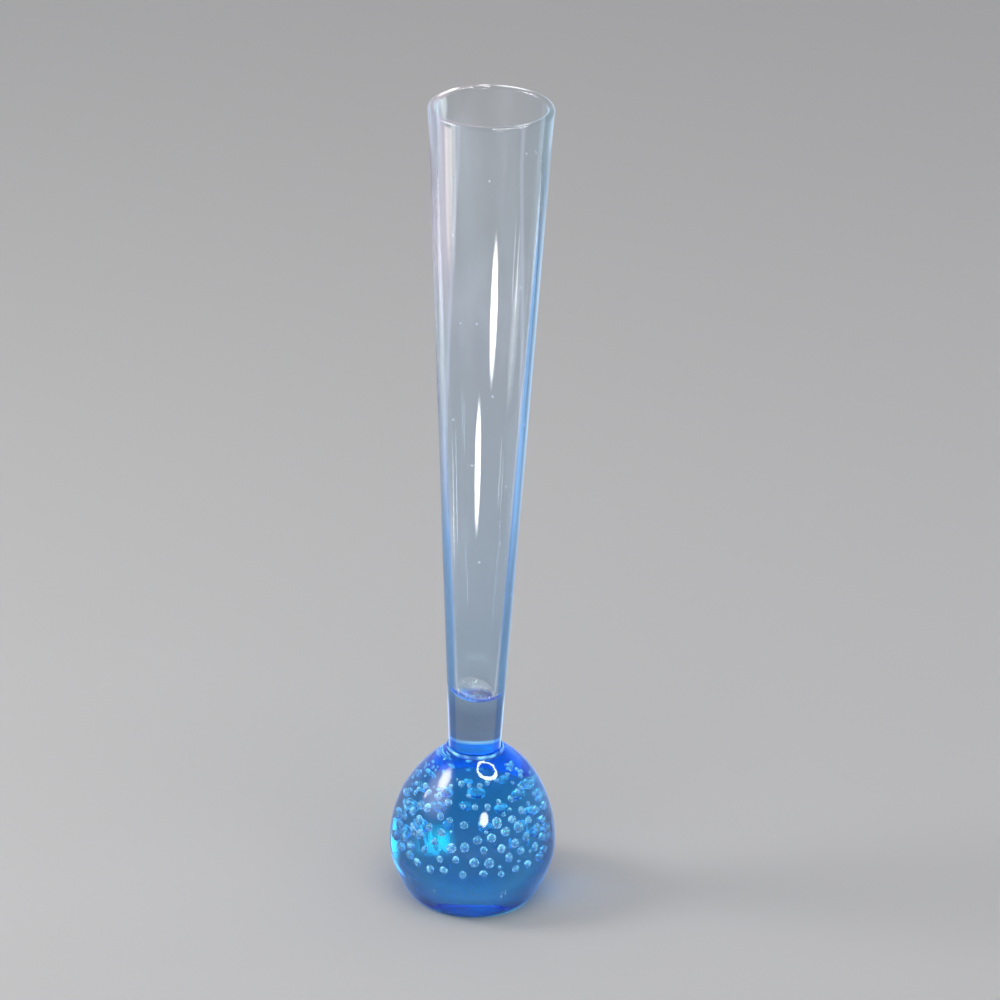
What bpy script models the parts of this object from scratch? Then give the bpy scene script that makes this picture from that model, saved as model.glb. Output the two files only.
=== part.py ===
# Bubble-ball bud vase: a blown trumpet flute standing in the collar of a solid blue ball.
#
# The ball is two gathers of glass. The inner gather is pricked all over with small pits, and the outer
# gather closes over it, which traps each pit's air as a bubble. The flute's solid heel stands in a
# shallow collar on top. The ball's foot is ground flat and rests on the table.
#
# Frame: metres, +Z up, origin at the middle of the ground foot, and every piece turned about Z.

import math

import bmesh
import bpy
from mathutils import Matrix, Vector

# The ball
BALL_RADIUS = 0.0252
BALL_HEIGHT = 0.0499
EQUATOR_HEIGHT = 0.0170
FOOT_RADIUS = 0.0186
FOOT_EDGE_ROUND = 0.0006
SHOULDER_RADIUS = 0.0140
NECK_LENGTH = 0.0019

# The collar on top of the ball, where the flute stands
COLLAR_WALL = 0.0006
SEAT_DEPTH = 0.0014

# The inner gather
CORE_RADIUS = 0.0150
CORE_FLOOR_THICKNESS = 0.0045
CORE_CROWN_THICKNESS = 0.0055
CORE_SHOULDER_RADIUS = 0.0072
CORE_NECK_RADIUS = 0.0050

# The pricked pits
BUBBLE_DIAMETER = 0.0023
BUBBLE_SINK = 0.0003
BUBBLES_PER_ROW = 20
BUBBLE_ROWS = 7
LOWEST_ROW_ANGLE = math.radians(-12)
HIGHEST_ROW_RADIUS = 0.0094

# The flute
FLUTE_LENGTH = 0.2052
HEEL_RADIUS = 0.0078
HEEL_LENGTH = 0.0173
HEEL_EDGE_ROUND = 0.0008
MOUTH_RADIUS = 0.0181
LIP_FLARE = 0.0002
LIP_FLARE_LENGTH = 0.0100
MOUTH_WALL = 0.0022
WALL_THICKENING = 0.0011
THICKENING_SHARPNESS = 5
WELL_CORNER_RADIUS = 0.0035

# Gap kept between pieces that touch
FIT_GAP = 0.0003

# Faces round each turned piece and along its curves
TURN_STEPS = 36
CURVE_STEPS = 8
CORNER_STEPS = 4
BUBBLE_SEGMENTS = 6
BUBBLE_RINGS = 4

# Finish of the glass
GLASS_IOR = 1.5
GLASS_ROUGHNESS = 0.02
FLUTE_COLOUR = (0.62, 0.74, 0.86, 1.0)
CASING_COLOUR = (0.06, 0.26, 0.62, 1.0)
CORE_COLOUR = (0.10, 0.42, 0.72, 1.0)

AXIS = Vector((0, 0, 1))
WELD_DISTANCE = 1e-6
SHARP_ANGLE = math.radians(40)


def clear_scene():
    """Removes whatever the scene holds."""
    for old in list(bpy.data.objects):
        bpy.data.objects.remove(old, do_unlink=True)


def glass(name, colour):
    """A clear glass of the given colour."""
    material = bpy.data.materials.new(name)
    material.use_nodes = True
    shader = material.node_tree.nodes["Principled BSDF"]
    shader.inputs["Base Color"].default_value = colour
    shader.inputs["Roughness"].default_value = GLASS_ROUGHNESS
    shader.inputs["Metallic"].default_value = 0.0
    shader.inputs["Transmission Weight"].default_value = 1.0
    shader.inputs["IOR"].default_value = GLASS_IOR
    material.diffuse_color = colour
    return material


def arc(middle, radii, start, end, steps):
    """Points on part of an ellipse, as (distance from the axis, height), both ends included."""
    points = []
    for i in range(steps + 1):
        angle = start + (end - start) * i / steps
        points.append((middle[0] + radii[0] * math.cos(angle), middle[1] + radii[1] * math.sin(angle)))
    return points


def round_corner(middle, radius, start, end):
    """Points on a circular corner, as (distance from the axis, height), both ends included."""
    return arc(middle, (radius, radius), start, end, CORNER_STEPS)


def hollow_curve(start, corner, end):
    """Points on a curve that leaves start towards corner and meets end coming from corner."""
    points = []
    for i in range(1, CORNER_STEPS + 1):
        t = i / CORNER_STEPS
        ease = ((1 - t) ** 2, 2 * t * (1 - t), t**2)
        points.append(tuple(sum(e * p[k] for e, p in zip(ease, (start, corner, end))) for k in (0, 1)))
    return points


def seat_height():
    """Height of the collar's floor, where the inner gather's neck ends and the flute stands."""
    return BALL_HEIGHT - SEAT_DEPTH


def core_drop():
    """How far the inner gather reaches below the ball's equator."""
    return EQUATOR_HEIGHT - CORE_FLOOR_THICKNESS


def core_rise():
    """How far the inner gather's dome would reach above the equator if it had no neck."""
    return BALL_HEIGHT - NECK_LENGTH - CORE_CROWN_THICKNESS - EQUATOR_HEIGHT


def dome_end(radius, shoulder_radius):
    """The angle above the equator at which a dome has narrowed to its shoulder."""
    return math.acos(shoulder_radius / radius)


def shoulder_and_neck(radius, rise, shoulder_radius, neck_radius, neck_top):
    """The upper outline of a gather: a dome that turns in a hollow curve into an upright neck."""
    turn = dome_end(radius, shoulder_radius)
    dome = arc((0, EQUATOR_HEIGHT), (radius, rise), 0, turn, CURVE_STEPS)
    tangent_rise = rise * (1 - neck_radius * math.cos(turn) / radius) / math.sin(turn)
    corner = (neck_radius, EQUATOR_HEIGHT + tangent_rise)
    return dome + hollow_curve(dome[-1], corner, (neck_radius, neck_top))


def core_outline(grow):
    """The inner gather from its lowest point to the top of its neck, grown outwards by a margin."""
    radius = CORE_RADIUS + grow
    bowl = arc((0, EQUATOR_HEIGHT), (radius, core_drop() + grow), -math.pi / 2, 0, CURVE_STEPS)
    shoulder_radius = CORE_SHOULDER_RADIUS + grow
    neck_radius = CORE_NECK_RADIUS + grow
    upper = shoulder_and_neck(radius, core_rise() + grow, shoulder_radius, neck_radius, seat_height())
    return bowl + upper[1:]


def foot_angle():
    """How far below the equator the ground foot cuts the ball."""
    return math.acos(FOOT_RADIUS / BALL_RADIUS)


def rounded_foot():
    """The edge of the ground foot, from the flat face to the start of the ball's lower curve."""
    turn = math.pi / 2 - foot_angle()
    middle = (FOOT_RADIUS - FOOT_EDGE_ROUND * math.tan(turn / 2), FOOT_EDGE_ROUND)
    return round_corner(middle, FOOT_EDGE_ROUND, -math.pi / 2, -foot_angle())


def lower_ball():
    """The ball's lower curve, from just above the foot's edge up to the equator."""
    drop = EQUATOR_HEIGHT / math.sin(foot_angle())
    edge_height = FOOT_EDGE_ROUND * (1 - math.sin(foot_angle()))
    start = math.asin((EQUATOR_HEIGHT - edge_height) / drop)
    return arc((0, EQUATOR_HEIGHT), (BALL_RADIUS, drop), -start, 0, CURVE_STEPS)[1:]


def casing_outline():
    """The outer gather: foot, ball, collar, seat, and the pocket that the inner gather fills."""
    bore = HEEL_RADIUS + FIT_GAP
    collar = bore + COLLAR_WALL
    rise = BALL_HEIGHT - NECK_LENGTH - EQUATOR_HEIGHT
    upper = shoulder_and_neck(BALL_RADIUS, rise, SHOULDER_RADIUS, collar, BALL_HEIGHT)
    outside = rounded_foot() + lower_ball() + upper[1:]
    seat = [(bore, BALL_HEIGHT), (bore, seat_height())]
    pocket = list(reversed(core_outline(FIT_GAP)))
    return [(0, 0)] + outside + seat + pocket


def flute_radius(height):
    """Outside radius of the flute at a height above its heel's end: a cone that flares at the lip."""
    flare_start = FLUTE_LENGTH - LIP_FLARE_LENGTH
    into_flare = max(0, height - flare_start) / LIP_FLARE_LENGTH
    return HEEL_RADIUS + (MOUTH_RADIUS - HEEL_RADIUS) * height / FLUTE_LENGTH + LIP_FLARE * into_flare**2


def flute_wall(height):
    """Wall thickness at a height: even for most of the length, and thicker close to the well's floor."""
    down = (FLUTE_LENGTH - height) / (FLUTE_LENGTH - HEEL_LENGTH)
    return MOUTH_WALL + WALL_THICKENING * down**THICKENING_SHARPNESS


def flute_outline():
    """The flute from the middle of its heel, up the outside, over the lip and down into the well."""
    lip_radius = MOUTH_WALL / 2
    lip_height = FLUTE_LENGTH - lip_radius
    corner_height = HEEL_LENGTH + WELL_CORNER_RADIUS
    heel_middle = (HEEL_RADIUS - HEEL_EDGE_ROUND, HEEL_EDGE_ROUND)
    heel = round_corner(heel_middle, HEEL_EDGE_ROUND, -math.pi / 2, 0)
    outside = []
    inside = []
    for i in range(1, CURVE_STEPS):
        height = HEEL_EDGE_ROUND + (lip_height - HEEL_EDGE_ROUND) * i / CURVE_STEPS
        outside.append((flute_radius(height), height))
        height = lip_height + (corner_height - lip_height) * i / CURVE_STEPS
        inside.append((flute_radius(height) - flute_wall(height), height))
    lip_middle = (flute_radius(lip_height) - lip_radius, lip_height)
    lip = round_corner(lip_middle, lip_radius, 0, math.pi)
    well_radius = flute_radius(corner_height) - flute_wall(corner_height)
    corner_middle = (well_radius - WELL_CORNER_RADIUS, corner_height)
    corner = round_corner(corner_middle, WELL_CORNER_RADIUS, 0, -math.pi / 2)
    return [(0, 0)] + heel + outside + lip + inside + corner + [(0, HEEL_LENGTH)]


def turned_piece(name, outline, base_height, material):
    """Spins an outline that starts and ends on the axis into a closed solid."""
    shape = bmesh.new()
    corners = [shape.verts.new((radius, 0, height + base_height)) for radius, height in outline]
    edges = [shape.edges.new(pair) for pair in zip(corners, corners[1:])]
    bmesh.ops.spin(
        shape, geom=corners + edges, axis=AXIS, cent=(0, 0, 0), angle=2 * math.pi, steps=TURN_STEPS
    )
    bmesh.ops.remove_doubles(shape, verts=shape.verts, dist=WELD_DISTANCE)
    bmesh.ops.dissolve_degenerate(shape, edges=shape.edges, dist=WELD_DISTANCE)
    bmesh.ops.recalc_face_normals(shape, faces=shape.faces)
    mesh = bpy.data.meshes.new(name)
    shape.to_mesh(mesh)
    shape.free()
    mesh.shade_smooth()
    mesh.set_sharp_from_angle(angle=SHARP_ANGLE)
    mesh.materials.append(material)
    piece = bpy.data.objects.new(name, mesh)
    bpy.context.scene.collection.objects.link(piece)
    return piece


def row_angles():
    """The angle of each row of pits above the equator, from the lowest to the narrowest."""
    highest = dome_end(CORE_RADIUS, HIGHEST_ROW_RADIUS)
    step = (highest - LOWEST_ROW_ANGLE) / (BUBBLE_ROWS - 1)
    return [LOWEST_ROW_ANGLE + step * row for row in range(BUBBLE_ROWS)]


def bubble_places():
    """A matrix for each pit: rows round the inner gather, each turned half a step from the last."""
    places = []
    for row, angle in enumerate(row_angles()):
        reach = core_rise() if angle > 0 else core_drop()
        on_skin = Vector((CORE_RADIUS * math.cos(angle), 0, EQUATOR_HEIGHT + reach * math.sin(angle)))
        outwards = Vector((math.cos(angle) / CORE_RADIUS, 0, math.sin(angle) / reach)).normalized()
        facing = outwards.to_track_quat("Z", "Y").to_matrix().to_4x4()
        placed = Matrix.Translation(on_skin - outwards * BUBBLE_SINK) @ facing
        for column in range(BUBBLES_PER_ROW):
            turn = 2 * math.pi * (column + row % 2 / 2) / BUBBLES_PER_ROW
            places.append(Matrix.Rotation(turn, 4, AXIS) @ placed)
    return places


def bubble_cutter():
    """One tool made of small balls, which presses every pit at once."""
    shape = bmesh.new()
    for place in bubble_places():
        bmesh.ops.create_uvsphere(
            shape,
            u_segments=BUBBLE_SEGMENTS,
            v_segments=BUBBLE_RINGS,
            radius=BUBBLE_DIAMETER / 2,
            matrix=place,
        )
    mesh = bpy.data.meshes.new("bubble_cutter")
    shape.to_mesh(mesh)
    shape.free()
    cutter = bpy.data.objects.new("bubble_cutter", mesh)
    bpy.context.scene.collection.objects.link(cutter)
    cutter.hide_render = True
    cutter.display_type = "WIRE"
    return cutter


def press_bubbles(core):
    """Cuts the pits into the inner gather's skin."""
    press = core.modifiers.new("pits", "BOOLEAN")
    press.operation = "DIFFERENCE"
    press.object = bubble_cutter()


def ball_core(material):
    """The inner gather, pricked all over, whose neck reaches up to the seat."""
    outline = core_outline(0) + [(0, seat_height())]
    core = turned_piece("ball_core", outline, 0, material)
    press_bubbles(core)
    return core


def ball_casing(material):
    """The outer gather with the ground foot and the collar."""
    return turned_piece("ball_casing", casing_outline(), 0, material)


def flute(material):
    """The blown trumpet with its solid heel, standing in the collar."""
    return turned_piece("flute", flute_outline(), seat_height() + FIT_GAP, material)


def main():
    """Builds the vase and names its pieces."""
    clear_scene()
    pieces = [
        ball_casing(glass("casing_glass", CASING_COLOUR)),
        ball_core(glass("core_glass", CORE_COLOUR)),
        flute(glass("flute_glass", FLUTE_COLOUR)),
    ]
    for piece in pieces:
        print(piece.name, len(piece.data.vertices), "corners")


main()
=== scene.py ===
# %% [markdown]
# # A bubble-ball bud vase
#
# The vase is hot-worked glass: a tall trumpet with a solid heel, standing on a solid ball that is full of
# small trapped air bubbles. On the real vase all of it is pale blue glass. The trumpet looks almost clear
# and the ball deep blue, mostly because light travels through far more glass in the ball. So the two
# shapes are modelled as true solids, with real walls and real air bubbles, and their colour comes from how
# far light travels inside them.
#
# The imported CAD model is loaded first. It fixes where everything is, and the new pieces stay inside it.

# %% Load the frame
import math

import bpy
import numpy as np
from mathutils import Matrix, Vector


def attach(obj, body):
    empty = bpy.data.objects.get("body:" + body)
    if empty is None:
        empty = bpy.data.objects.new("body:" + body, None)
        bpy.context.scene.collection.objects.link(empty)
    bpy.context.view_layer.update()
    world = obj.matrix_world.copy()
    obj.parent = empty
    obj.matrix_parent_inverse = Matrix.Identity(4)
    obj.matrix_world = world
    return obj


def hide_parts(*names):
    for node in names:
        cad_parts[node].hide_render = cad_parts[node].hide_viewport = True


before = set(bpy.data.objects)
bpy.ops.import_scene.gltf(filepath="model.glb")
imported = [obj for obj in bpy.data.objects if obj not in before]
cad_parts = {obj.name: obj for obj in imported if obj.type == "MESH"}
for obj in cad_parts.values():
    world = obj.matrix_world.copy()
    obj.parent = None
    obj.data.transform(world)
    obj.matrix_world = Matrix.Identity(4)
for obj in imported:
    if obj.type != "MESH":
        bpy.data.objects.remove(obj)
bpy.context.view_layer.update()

# %% [markdown]
# ## The camera
#
# A phone photographed the vase from a little over a metre away, looking down at about 25 degrees and
# rolled by a degree and a half. A long lens keeps the trumpet's sides as parallel as they look there.

# %% Camera
MM = 0.001
CAMERA_PLACE = (0.00555, -1.3323, 0.7539)
CAMERA_TILT = math.radians(64.93)
CAMERA_ROLL = math.radians(1.59)
CAMERA_LENS = 180
SENSOR_WIDTH = 36


def new_object(name, data):
    """An object in the scene, from a mesh or a camera."""
    made = bpy.data.objects.new(name, data)
    bpy.context.scene.collection.objects.link(made)
    return made


camera_data = bpy.data.cameras.new("camera")
camera_data.lens = CAMERA_LENS
camera_data.sensor_width = SENSOR_WIDTH
camera = new_object("camera", camera_data)
camera.rotation_mode = "QUATERNION"
camera.location = CAMERA_PLACE
turn = Matrix.Rotation(CAMERA_TILT, 3, "X") @ Matrix.Rotation(CAMERA_ROLL, 3, "Z")
camera.rotation_quaternion = turn.to_quaternion()
bpy.context.scene.camera = camera
print("camera at", tuple(camera.location))

# %% [markdown]
# ## From a grid of points to a mesh
#
# Every turned shape here is a grid: rows run along the profile and columns run round the axis. The first
# and last row shrink to a point on the axis. A row of quads joins each pair of rows, and the last column
# joins the first, so the shape has no seam. Whole index arrays make the faces, with no loop over points.

# %% Mesh helpers
AROUND = 144


def angles_round(count=AROUND):
    """Angles of the columns, evenly round the axis, as a row of numbers."""
    return np.linspace(0, 2 * np.pi, count, endpoint=False)


def round_axis(radius, turn, height):
    """Points from radius, angle and height: (radius cos(angle), radius sin(angle), height)."""
    return np.stack(np.broadcast_arrays(radius * np.cos(turn), radius * np.sin(turn), height), axis=-1)


def wrapped_grid(rows, columns):
    """Quads of a grid whose last column joins its first, as four corner numbers each."""
    number = np.arange(rows * columns).reshape(rows, columns)
    right = np.roll(number, -1, axis=1)
    return np.stack([number[:-1], right[:-1], right[1:], number[1:]], axis=-1).reshape(-1, 4)


def cap(ring, pole):
    """Triangles that join a ring of corner numbers to one point on the axis."""
    return np.stack([ring, np.roll(ring, -1), np.full_like(ring, pole)], axis=-1)


def closed_faces(rows, columns):
    """Quads of a wrapped grid, and triangles to the two poles that follow its points."""
    number = np.arange(rows * columns).reshape(rows, columns)
    triangles = np.concatenate([cap(number[0][::-1], number.size), cap(number[-1], number.size + 1)])
    return wrapped_grid(rows, columns), triangles


def turned_skin(radius, height):
    """Points and faces of a closed turned skin. Radius and height are grids, with rows from the lower
    pole to the upper one."""
    points = round_axis(radius, angles_round(radius.shape[1]), height).reshape(-1, 3)
    poles = np.array([[0, 0, height[0].mean()], [0, 0, height[-1].mean()]])
    return np.concatenate([points, poles]), *closed_faces(*radius.shape)


def make_mesh(name, points, quads, triangles):
    """A smooth-shaded object from whole arrays of points (in millimetres) and faces."""
    corners = np.concatenate([quads.ravel(), triangles.ravel()])
    sizes = np.concatenate([np.full(len(quads), 4), np.full(len(triangles), 3)])
    starts = np.concatenate([[0], np.cumsum(sizes)[:-1]])
    mesh = bpy.data.meshes.new(name)
    mesh.vertices.add(len(points))
    mesh.vertices.foreach_set("co", (points * MM).astype(np.float32).ravel())
    mesh.loops.add(len(corners))
    mesh.loops.foreach_set("vertex_index", corners.astype(np.int32))
    mesh.polygons.add(len(sizes))
    mesh.polygons.foreach_set("loop_start", starts.astype(np.int32))
    mesh.update(calc_edges=True)
    mesh.validate()
    mesh.shade_smooth()
    piece = new_object(name, mesh)
    print(name, len(points), "points,", int((sizes - 2).sum()), "triangles")
    return piece


# %% [markdown]
# ## The trumpet's profile
#
# The trumpet is a cone with a solid heel. Its outside runs straight from the heel to a faint flare at the
# lip, and its wall is even, thickening only near the bottom of the well. All sizes are millimetres and
# match the CAD. One long profile goes from the middle of the heel's end, up the outside, over the
# fire-polished lip and down the well to the middle of its floor.

# %% Trumpet sizes
JOINT_TOP = 49.4
JOINT_SINK = 0.6
JOINT_GAP = 0.03
JOINT_STEPS = np.linspace(0, 1, 9)[1:, None]
COLLAR_TOP = 49.7
TOP_HEIGHT = 254.0
HEEL_RADIUS = 7.8
MOUTH_RADIUS = 18.1
FLARE = 0.2
FLARE_LENGTH = 10.0
HEEL_EDGE = 0.15
WELL_FLOOR_HEIGHT = 66.1
WALL = 2.2
WALL_THICKENING = 1.1
THICKENING_POWER = 5
HEEL_BOTTOM = JOINT_TOP - JOINT_SINK + JOINT_GAP
trumpet_length = TOP_HEIGHT - JOINT_TOP


def joint_dome(radius):
    """Height of the surface where trumpet and ball are fused: a dome that sinks with the radius squared."""
    return JOINT_TOP - JOINT_SINK * (radius / (HEEL_RADIUS - HEEL_EDGE)) ** 2


def trumpet_radius(height):
    """Outside radius: heel radius plus a straight taper, plus a squared flare in the last stretch."""
    up = np.clip((height - JOINT_TOP) / trumpet_length, 0, 1)
    into_flare = np.clip((height - TOP_HEIGHT + FLARE_LENGTH) / FLARE_LENGTH, 0, 1)
    return HEEL_RADIUS + (MOUTH_RADIUS - HEEL_RADIUS) * up + FLARE * into_flare**2


def trumpet_wall(height):
    """Wall thickness: even, plus a fifth power of the depth below the lip."""
    depth = (TOP_HEIGHT - height) / (TOP_HEIGHT - WELL_FLOOR_HEIGHT)
    return WALL + WALL_THICKENING * depth**THICKENING_POWER


# %% [markdown]
# Blown and tooled glass is never perfectly even. Slow waves of a few hundredths of a millimetre run over
# the outside and, in another rhythm, over the inside. They are far too small to see as shape, but they
# bend light, so highlights and edges waver as they do on the real wall. The well's floor is also a little
# lopsided: its corner is wide on the left and tight on the right.

# %% Unevenness of hand work
OUTSIDE_WAVE = 0.035
INSIDE_WAVE = 0.05
CORNER_RADIUS = 3.4
CORNER_LOPSIDED = 1.3
WAVES = ((2, 21, 1.0), (3, -13, 2.1), (1, 7.5, 3.7))
OUTSIDE_PHASE = 0.4
INSIDE_PHASE = 1.9
HEEL_CALM = 4.0
LIP_CALM = 6.0
EDGE_STEPS = 5
BURIED_STEPS = 4
OUTSIDE_STEPS = 170
LIP_STEPS = 15
INSIDE_STEPS = 150
CORNER_STEPS = 12
FLOOR_RINGS = (0.7, 0.35)


def hand_wave(turn, height, phase):
    """Mean of three slow waves round and along the wall: sine of (count turn + height / pitch + phase)."""
    waves = (np.sin(count * turn + height / pitch + shift * phase) for count, pitch, shift in WAVES)
    return sum(waves) / len(WAVES)


def lip_calm(height):
    """Share of the waves that is left near the lip: none at its top, all of it from LIP_CALM below."""
    return np.clip((TOP_HEIGHT - height) / LIP_CALM, 0, 1)


def trumpet_grid():
    """Radius and height grids of the trumpet, a mark of the points in the well, and the row where the well's
    corner begins."""
    turn = angles_round()
    level = np.ones((1, AROUND))
    heel_reach = HEEL_RADIUS - HEEL_EDGE
    disc_radius = JOINT_STEPS * heel_reach * level
    disc_height = joint_dome(disc_radius) + JOINT_GAP
    edge_angle = np.linspace(-np.pi / 2, 0, EDGE_STEPS)[1:, None]
    edge_radius = (heel_reach + HEEL_EDGE * np.cos(edge_angle)) * level
    edge_height = (HEEL_BOTTOM + HEEL_EDGE * (1 + np.sin(edge_angle))) * level

    lip_radius = WALL / 2
    lip_height = TOP_HEIGHT - lip_radius
    buried_height = np.linspace(HEEL_BOTTOM + HEEL_EDGE, COLLAR_TOP, BURIED_STEPS)[1:]
    free_height = np.linspace(COLLAR_TOP, lip_height, OUTSIDE_STEPS)[1:]
    outside_height = np.concatenate([buried_height, free_height])[:, None] * level
    calm = np.clip((outside_height - HEEL_BOTTOM) / HEEL_CALM, 0, 1) * lip_calm(outside_height)
    wave = OUTSIDE_WAVE * calm * hand_wave(turn, outside_height, OUTSIDE_PHASE)
    outside_radius = trumpet_radius(outside_height) + wave

    lip_angle = np.linspace(0, np.pi, LIP_STEPS)[1:-1, None]
    lip_middle = trumpet_radius(lip_height) - lip_radius
    rim_radius = (lip_middle + lip_radius * np.cos(lip_angle)) * level
    rim_height = (lip_height + lip_radius * np.sin(lip_angle)) * level

    corner = CORNER_RADIUS - CORNER_LOPSIDED * np.cos(turn)
    corner_height = WELL_FLOOR_HEIGHT + corner
    share = np.linspace(0, 1, INSIDE_STEPS)[:, None]
    inside_height = lip_height + (corner_height - lip_height) * share
    wave = INSIDE_WAVE * lip_calm(inside_height) * hand_wave(turn, inside_height, INSIDE_PHASE)
    inside_radius = trumpet_radius(inside_height) - trumpet_wall(inside_height) + wave

    corner_angle = np.linspace(0, -np.pi / 2, CORNER_STEPS)[1:, None]
    well_radius = inside_radius[-1]
    corner_radius = well_radius - corner + corner * np.cos(corner_angle)
    corner_heights = corner_height + corner * np.sin(corner_angle)
    floor_radius = corner_radius[-1] * np.array(FLOOR_RINGS)[:, None]
    floor_height = WELL_FLOOR_HEIGHT * np.ones_like(floor_radius)

    radii = [disc_radius, edge_radius, outside_radius, rim_radius, inside_radius, corner_radius, floor_radius]
    heights = [disc_height, edge_height, outside_height, rim_height]
    heights += [inside_height, corner_heights, floor_height]
    radius, height = np.concatenate(radii), np.concatenate(heights)
    in_well = np.ones_like(radius)
    in_well[:sum(len(part) for part in radii[:4])] = 0
    first_corner = len(radius) - len(corner_heights) - len(floor_radius)
    print("trumpet grid:", radius.shape, "widest radius", round(float(radius.max()), 3), "mm")
    return radius, height, in_well, first_corner


trumpet_radii, trumpet_heights, well_mark, first_corner = trumpet_grid()

# %% [markdown]
# Dried water leaves a haze and a tide mark in the well. They are painted into the mesh as a faint glow of its
# points. So are a painted azure reflection on the left of the well's corner, a painted pale highlight at its
# back, and painted highlights where the polished lip mirrors lamps as bright arcs, because all of these lie
# in places of their own.

# %% Painted light in the well and on the lip
ARC_TURN = math.radians(205)
ARC_SPREAD = math.radians(50)
BACK_TURN = math.radians(90)
BACK_SPREAD = 1.0
CORNER_LIGHT = (WELL_FLOOR_HEIGHT + 1.0, 1.3)
TIDE_LIGHT = (76.0, 1.4)
TIDE_ROWS = 40
HAZE_SHARE = (0.75, 0.5)
SPARK_FROM = 0.96
SPARK_SHARE = 4.0
# colours of painted light in the well: glowing haze, a painted azure reflection, a painted pale highlight, a
# glowing tide mark
WELL_LIGHT_COLOURS = ((0.10, 0.09, 0.09), (0.04, 0.26, 0.42), (0.18, 0.19, 0.20), (0.12, 0.13, 0.15))
# painted highlights on the lip: middle and half width in degrees, place across the lip, strength
LIP_ARCS = (
    (141, 14, 0.35, 1.0),
    (130, 5, 0.05, 1.6),
    (98, 5, 0.0, 1.5),
    (68, 17, 0.1, 1.3),
    (-58, 9, 0.0, 0.8),
    (-96, 12, 0.3, 0.25),
)
LIP_ARC_SPREAD = 0.26
LIP_MARGIN = 0.01
random_marks = np.random.default_rng(3)


def bell(value, middle, spread):
    """A bell curve: e to the power of minus the square of (value - middle) / spread."""
    return np.exp(-(((value - middle) / spread) ** 2))


def turned_from(turn, middle):
    """The angle from a middle, between minus and plus half a turn."""
    return (turn - middle + np.pi) % (2 * np.pi) - np.pi


def well_light(radius, height, first_corner):
    """Colour of the light painted into the well, as red, green and blue grids: a glow over the floor's haze
    of dried water, a painted azure reflection on the left of its corner, a painted pale highlight at the back
    and a faint glowing tide mark."""
    turn = angles_round()[None, :] + 0 * radius
    row = np.arange(len(radius))[:, None] + 0 * radius
    low = row >= first_corner
    speck = random_marks.uniform(0, 1, radius.shape)
    left = bell(turned_from(turn, ARC_TURN), 0, ARC_SPREAD)
    back = bell(turn, BACK_TURN, BACK_SPREAD)
    in_corner = low * bell(height, *CORNER_LIGHT)
    tide = ~low * bell(height, *TIDE_LIGHT) * back * speck * (row > first_corner - TIDE_ROWS)
    haze = low * (HAZE_SHARE[0] + HAZE_SHARE[1] * speck + SPARK_SHARE * (speck > SPARK_FROM))
    amounts = (haze, in_corner * left, in_corner * back, tide)
    caught = sum(amount[..., None] * np.array(colour) for amount, colour in zip(amounts, WELL_LIGHT_COLOURS))
    return caught + lip_light(radius, height, turn)[..., None]


def lip_light(radius, height, turn):
    """Painted highlights: white arcs along the lip, where it would mirror bright lamps. Each has a middle and
    a half width in degrees, a place across the lip (0 its crest, 1 its inner side) and a strength, and fades
    as a bell curve."""
    lip_radius = WALL / 2
    crest = trumpet_radius(TOP_HEIGHT - lip_radius) - lip_radius
    across = (crest - radius) / lip_radius
    total = 0 * radius
    for middle, half, place, strength in LIP_ARCS:
        away = turned_from(turn, math.radians(middle)) / math.radians(half)
        total = total + strength * np.exp(-(away**4)) * bell(across, place, LIP_ARC_SPREAD)
    return total * (height > TOP_HEIGHT - lip_radius - LIP_MARGIN)


caught_light = well_light(trumpet_radii, trumpet_heights, first_corner)
print("brightest painted point:", round(float(caught_light.max()), 2))

# %% [markdown]
# ## Air bubbles
#
# A bubble is a closed skin inside the glass whose faces point into the air, as the outside of the vase
# does. Each is a small squashed ball with a slight egg shape. All bubbles of a piece are worked out in one
# go, as one array of bubbles by points.

# %% Bubble shapes
BUBBLE_RINGS = 7
BUBBLE_SEGMENTS = 12


def ball_template():
    """A unit ball: rings between two poles, from the top down, so that its faces point inwards, into the
    air. Point = (sin a cos b, sin a sin b, cos a)."""
    a = np.linspace(0, np.pi, BUBBLE_RINGS + 1)[1:-1, None]
    b = np.linspace(0, 2 * np.pi, BUBBLE_SEGMENTS, endpoint=False)[None, :]
    rings = np.stack([np.sin(a) * np.cos(b), np.sin(a) * np.sin(b), np.cos(a) + 0 * b], axis=-1)
    return np.concatenate([rings.reshape(-1, 3), [[0, 0, 1], [0, 0, -1]]])


def bubble_skins(centres, across, along, outward, taper):
    """Skins of many bubbles at once. Each centre has three half-size vectors. A point is the centre plus
    x across + y along + z outward, with x and z narrowed by taper times y, which makes an egg."""
    unit = ball_template()
    narrow = 1 - taper[:, None] * unit[None, :, 1]
    points = centres[:, None, :]
    points = points + (unit[None, :, 0] * narrow)[..., None] * across[:, None, :]
    points = points + unit[None, :, 1, None] * along[:, None, :]
    points = points + (unit[None, :, 2] * narrow)[..., None] * outward[:, None, :]
    quads, triangles = closed_faces(BUBBLE_RINGS - 1, BUBBLE_SEGMENTS)
    offsets = np.arange(len(centres)) * len(unit)
    quads = (quads[None] + offsets[:, None, None]).reshape(-1, 4)
    triangles = (triangles[None] + offsets[:, None, None]).reshape(-1, 3)
    return points.reshape(-1, 3), quads, triangles


print("points in one bubble:", len(ball_template()))

# %% [markdown]
# ## The ball's profile
#
# The ball is two half ellipses that meet at the equator: a low one cut flat by the ground foot, and a
# taller one that is drawn up towards the collar round the trumpet's heel. The collar is a bead of glass
# pressed on by hand, so it wavers in height. The right shoulder is a little fuller than the left, and the
# ball draws in slightly just above its foot.

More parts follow.
